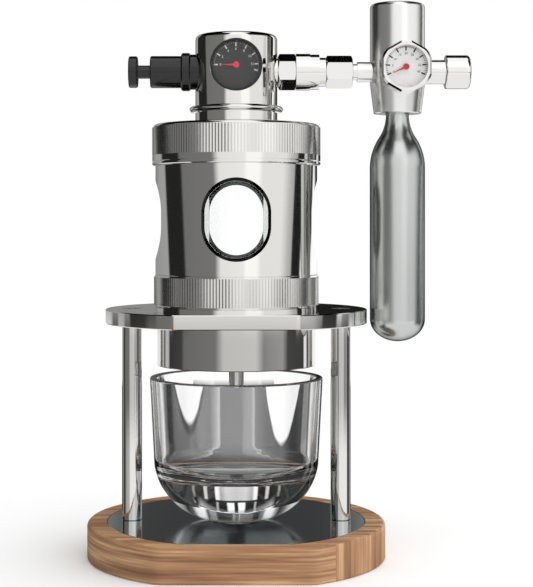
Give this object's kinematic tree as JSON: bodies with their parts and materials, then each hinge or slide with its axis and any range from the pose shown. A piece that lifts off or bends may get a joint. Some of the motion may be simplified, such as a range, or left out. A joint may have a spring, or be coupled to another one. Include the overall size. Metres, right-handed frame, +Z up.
{
  "type": "manual espresso maker",
  "caption": "Manual espresso maker: gas-driven windowed brew cylinder with knurled rings, gauges, relief valve, regulator and cartridge, on a wooden stand with a glass.",
  "frame": {"origin": "on the brew axis, at the underside of the wooden base", "axes": "+Z up along the brew axis, +X towards the gas cartridge, -Y towards the user and the dials"},
  "size_m": [0.1526, 0.1034, 0.2198],
  "materials": {
    "walnut": "oiled solid walnut",
    "inlay_steel": "dark satin stainless steel",
    "polished_steel": "mirror-polished stainless steel",
    "satin_steel": "fine satin stainless steel",
    "bright_plating": "bright nickel plating",
    "spring_steel": "drawn spring wire",
    "clear_glass": "clear pressed glass",
    "clear_tube": "clear drawn tube",
    "lens": "clear flat lens",
    "seal_rubber": "black silicone rubber",
    "black_anodised": "black anodised aluminium",
    "gauge_black": "black moulded plastic",
    "dial_grey": "dark grey printed dial",
    "dial_white": "white printed dial",
    "needle_red": "red painted pointer",
    "brass_seat": "turned brass"
  },
  "bodies": {
    "stand": {"wood_base": "walnut", "inlay_plate": "inlay_steel", "left_post": "polished_steel", "right_post": "polished_steel", "upper_plate": "polished_steel", "plate_screws": "satin_steel", "base_screws": "satin_steel"},
    "glass": {"serving_glass": "clear_glass"},
    "brew_base": {"basket_holder": "polished_steel", "spout": "polished_steel", "filter_basket": "satin_steel", "basket_gasket": "seal_rubber"},
    "barrel": {"barrel_sleeve": "polished_steel", "chamber_tube": "clear_tube", "lower_seal": "seal_rubber", "upper_seal": "seal_rubber", "shower_screen": "satin_steel"},
    "clamp_ring": {"clamp_ring": "polished_steel"},
    "head": {"head_block": "polished_steel", "head_seal": "seal_rubber", "gauge_case": "gauge_black", "gauge_dial": "dial_grey", "gauge_lens": "lens", "relief_body": "black_anodised", "relief_nut": "black_anodised", "relief_gland": "black_anodised", "relief_spring": "spring_steel", "inlet_adapter": "bright_plating", "coupling_sleeve": "bright_plating", "check_ball": "satin_steel", "check_spring": "spring_steel", "gas_nut": "bright_plating", "regulator_body": "satin_steel", "piercing_pin": "spring_steel", "cartridge_washer": "seal_rubber", "bonnet": "bright_plating", "regulator_piston": "brass_seat", "spring_seat": "brass_seat", "regulator_spring": "spring_steel", "dial_gauge_case": "bright_plating", "dial_gauge_dial": "dial_white", "dial_gauge_lens": "lens"},
    "cap": {"knurled_cap": "polished_steel"},
    "relief_puller": {"relief_knob": "black_anodised"},
    "brew_needle": {"gauge_needle": "needle_red"},
    "line_needle": {"dial_gauge_needle": "needle_red"},
    "adjuster": {"regulator_knob": "bright_plating"},
    "cartridge": {"gas_cartridge": "satin_steel"}
  },
  "joints": [
    {"name": "glass_slide", "type": "slide", "parent": "stand", "child": "glass", "axis": [0, -1, 0], "range_m": [0, 0.025]},
    {"name": "brew_lift", "type": "slide", "parent": "stand", "child": "brew_base", "axis": [0, 0, 1], "range_m": [0, 0.035]},
    {"name": "barrel_lift", "type": "slide", "parent": "brew_base", "child": "barrel", "axis": [0, 0, 1], "range_m": [0, 0.02]},
    {"name": "ring_turn", "type": "hinge", "parent": "barrel", "child": "clamp_ring", "pos_m": [0, 0, 0.106], "axis": [0, 0, 1], "range_deg": [0, 1080]},
    {"name": "head_lift", "type": "slide", "parent": "barrel", "child": "head", "axis": [0, 0, 1], "range_m": [0, 0.015]},
    {"name": "cap_turn", "type": "hinge", "parent": "head", "child": "cap", "pos_m": [0, 0, 0.165], "axis": [0, 0, 1], "range_deg": [0, 1080]},
    {"name": "relief_pull", "type": "slide", "parent": "head", "child": "relief_puller", "axis": [-1, 0, 0], "range_m": [0, 0.003], "stiffness_N_per_m": 300, "springref_m": -0.004, "deforming": ["relief_spring"]},
    {"name": "brew_needle_turn", "type": "hinge", "parent": "head", "child": "brew_needle", "pos_m": [0, -0.0145, 0.1941], "axis": [0, 1, 0], "range_deg": [0, 195]},
    {"name": "line_needle_turn", "type": "hinge", "parent": "head", "child": "line_needle", "pos_m": [0.06581, -0.018, 0.1929], "axis": [0, 1, 0], "range_deg": [0, 228]},
    {"name": "adjuster_turn", "type": "hinge", "parent": "head", "child": "adjuster", "pos_m": [0.09, 0, 0.1927], "axis": [1, 0, 0], "range_deg": [0, 1080]},
    {"name": "cartridge_out", "type": "slide", "parent": "head", "child": "cartridge", "axis": [0, 0, -1], "range_m": [0, 0.016]}
  ]
}
